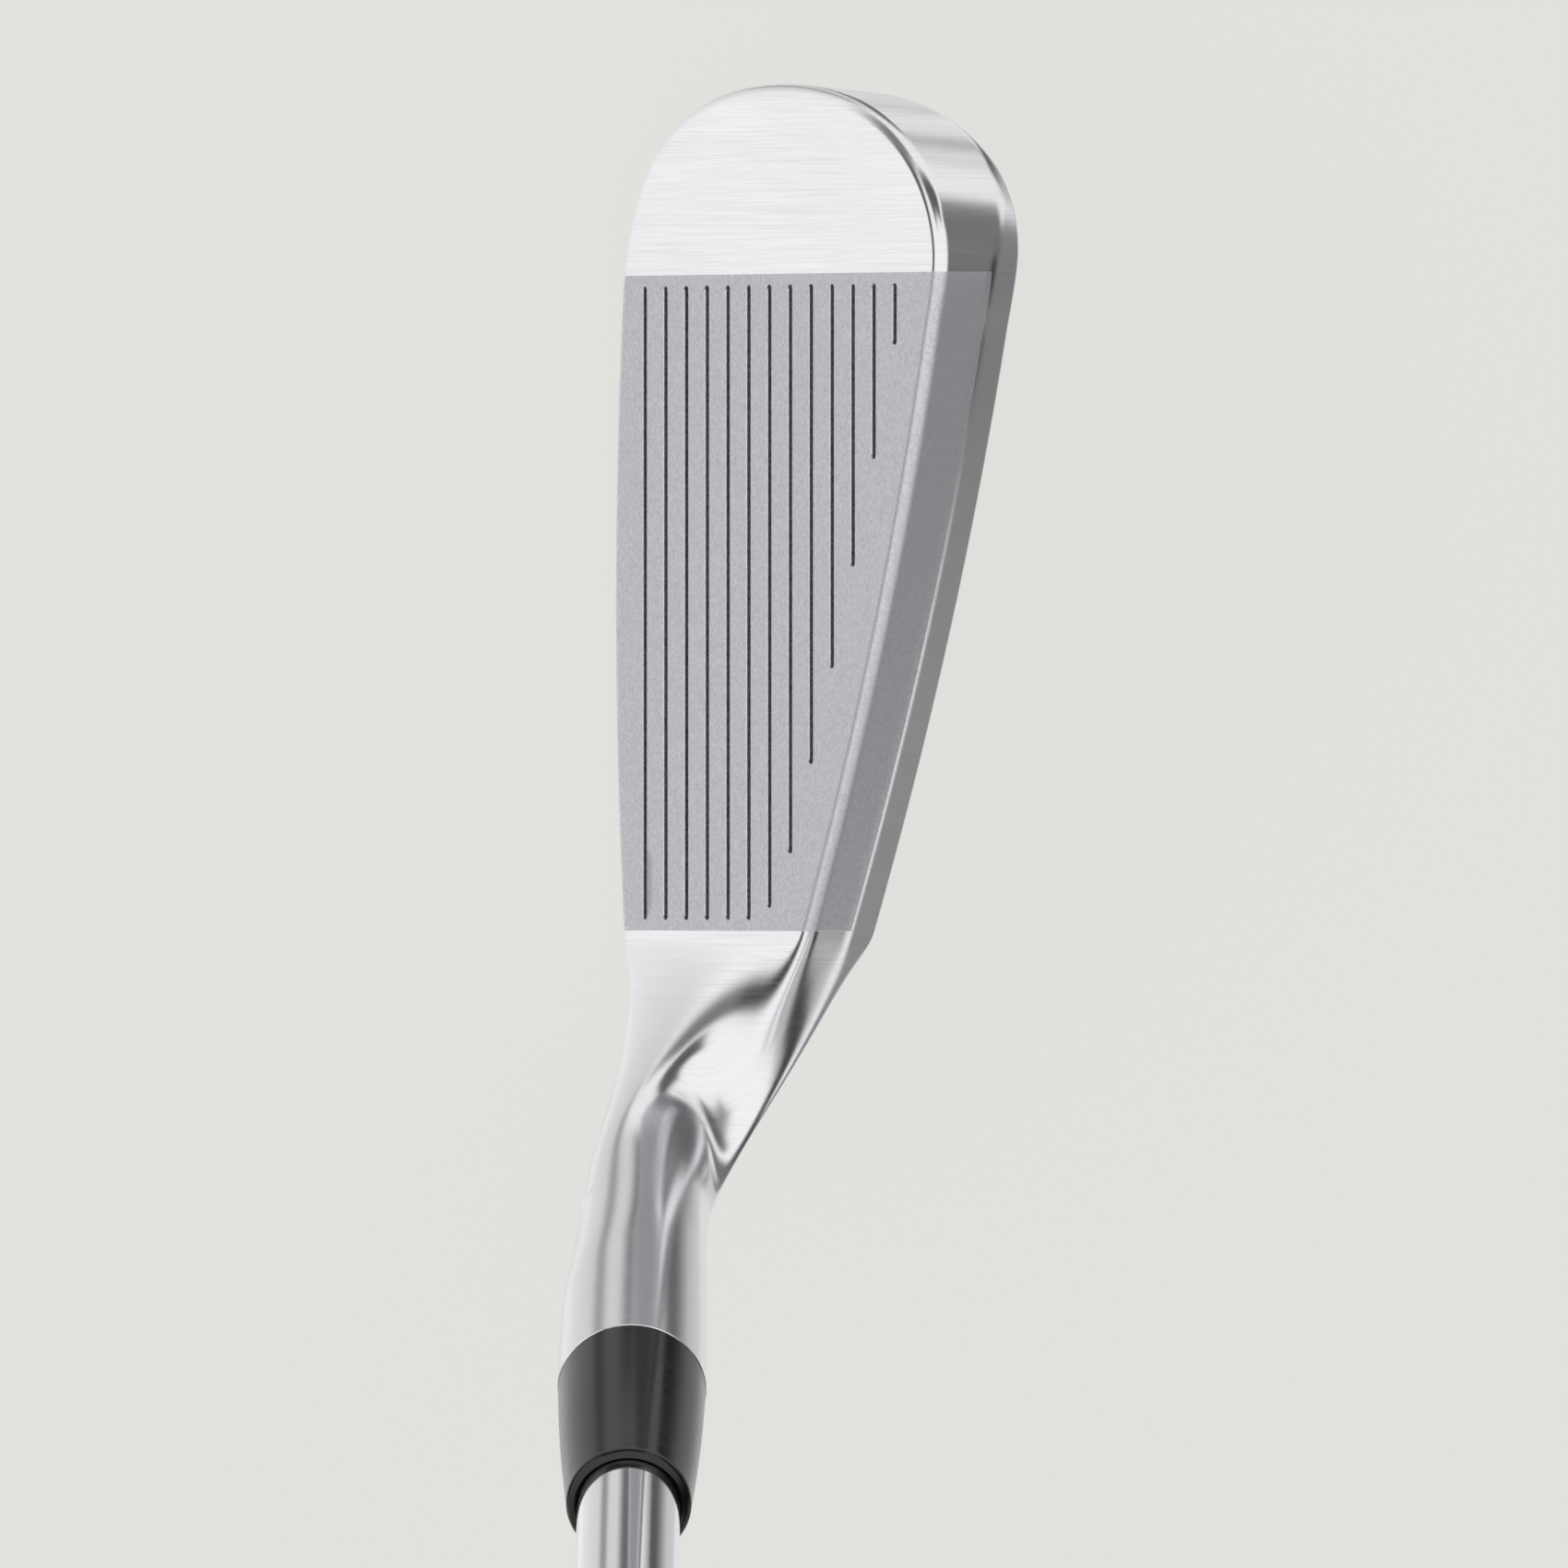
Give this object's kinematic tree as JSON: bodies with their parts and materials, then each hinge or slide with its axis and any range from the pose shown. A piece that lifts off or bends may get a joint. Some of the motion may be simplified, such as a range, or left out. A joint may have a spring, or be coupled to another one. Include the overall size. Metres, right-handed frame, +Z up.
{
  "type": "iron golf club",
  "caption": "Right-handed mid iron: cavity-back steel head with offset hosel, ferrule, stepped steel shaft and rubber grip, soled at address.",
  "frame": {"origin": "the point of the sole that rests on the ground at address, on the small flat of the sole", "axes": "+Z up, +X from the toe to the heel and the player, +Y away from the target, so the face looks towards -Y and the shaft leans towards +X"},
  "size_m": [0.5278, 0.0561, 0.8389],
  "materials": {
    "head_chrome": "satin chrome plate, hairline brushed, with a bead-blasted scoring area",
    "damper_rubber": "soft matt elastomer",
    "badge_aluminium": "fine brushed, anodised",
    "screw_steel": "turned, dull",
    "tip_brass": "turned, dull",
    "epoxy": "cured adhesive",
    "ferrule_black": "polished black",
    "shaft_chrome": "mirror chrome plate",
    "band_label": "blank film label",
    "tape_paper": "paper-backed tape",
    "grip_rubber": "moulded, textured",
    "cap_rubber": "moulded, smooth"
  },
  "bodies": {
    "root": {"head_body": "head_chrome", "badge_damper": "damper_rubber", "cavity_badge": "badge_aluminium", "toe_weight_screw": "screw_steel", "tip_weight": "tip_brass", "hosel_epoxy": "epoxy", "ferrule": "ferrule_black", "shaft": "shaft_chrome", "shaft_band": "band_label", "grip_tape": "tape_paper", "grip": "grip_rubber", "grip_cap": "cap_rubber"}
  },
  "joints": []
}
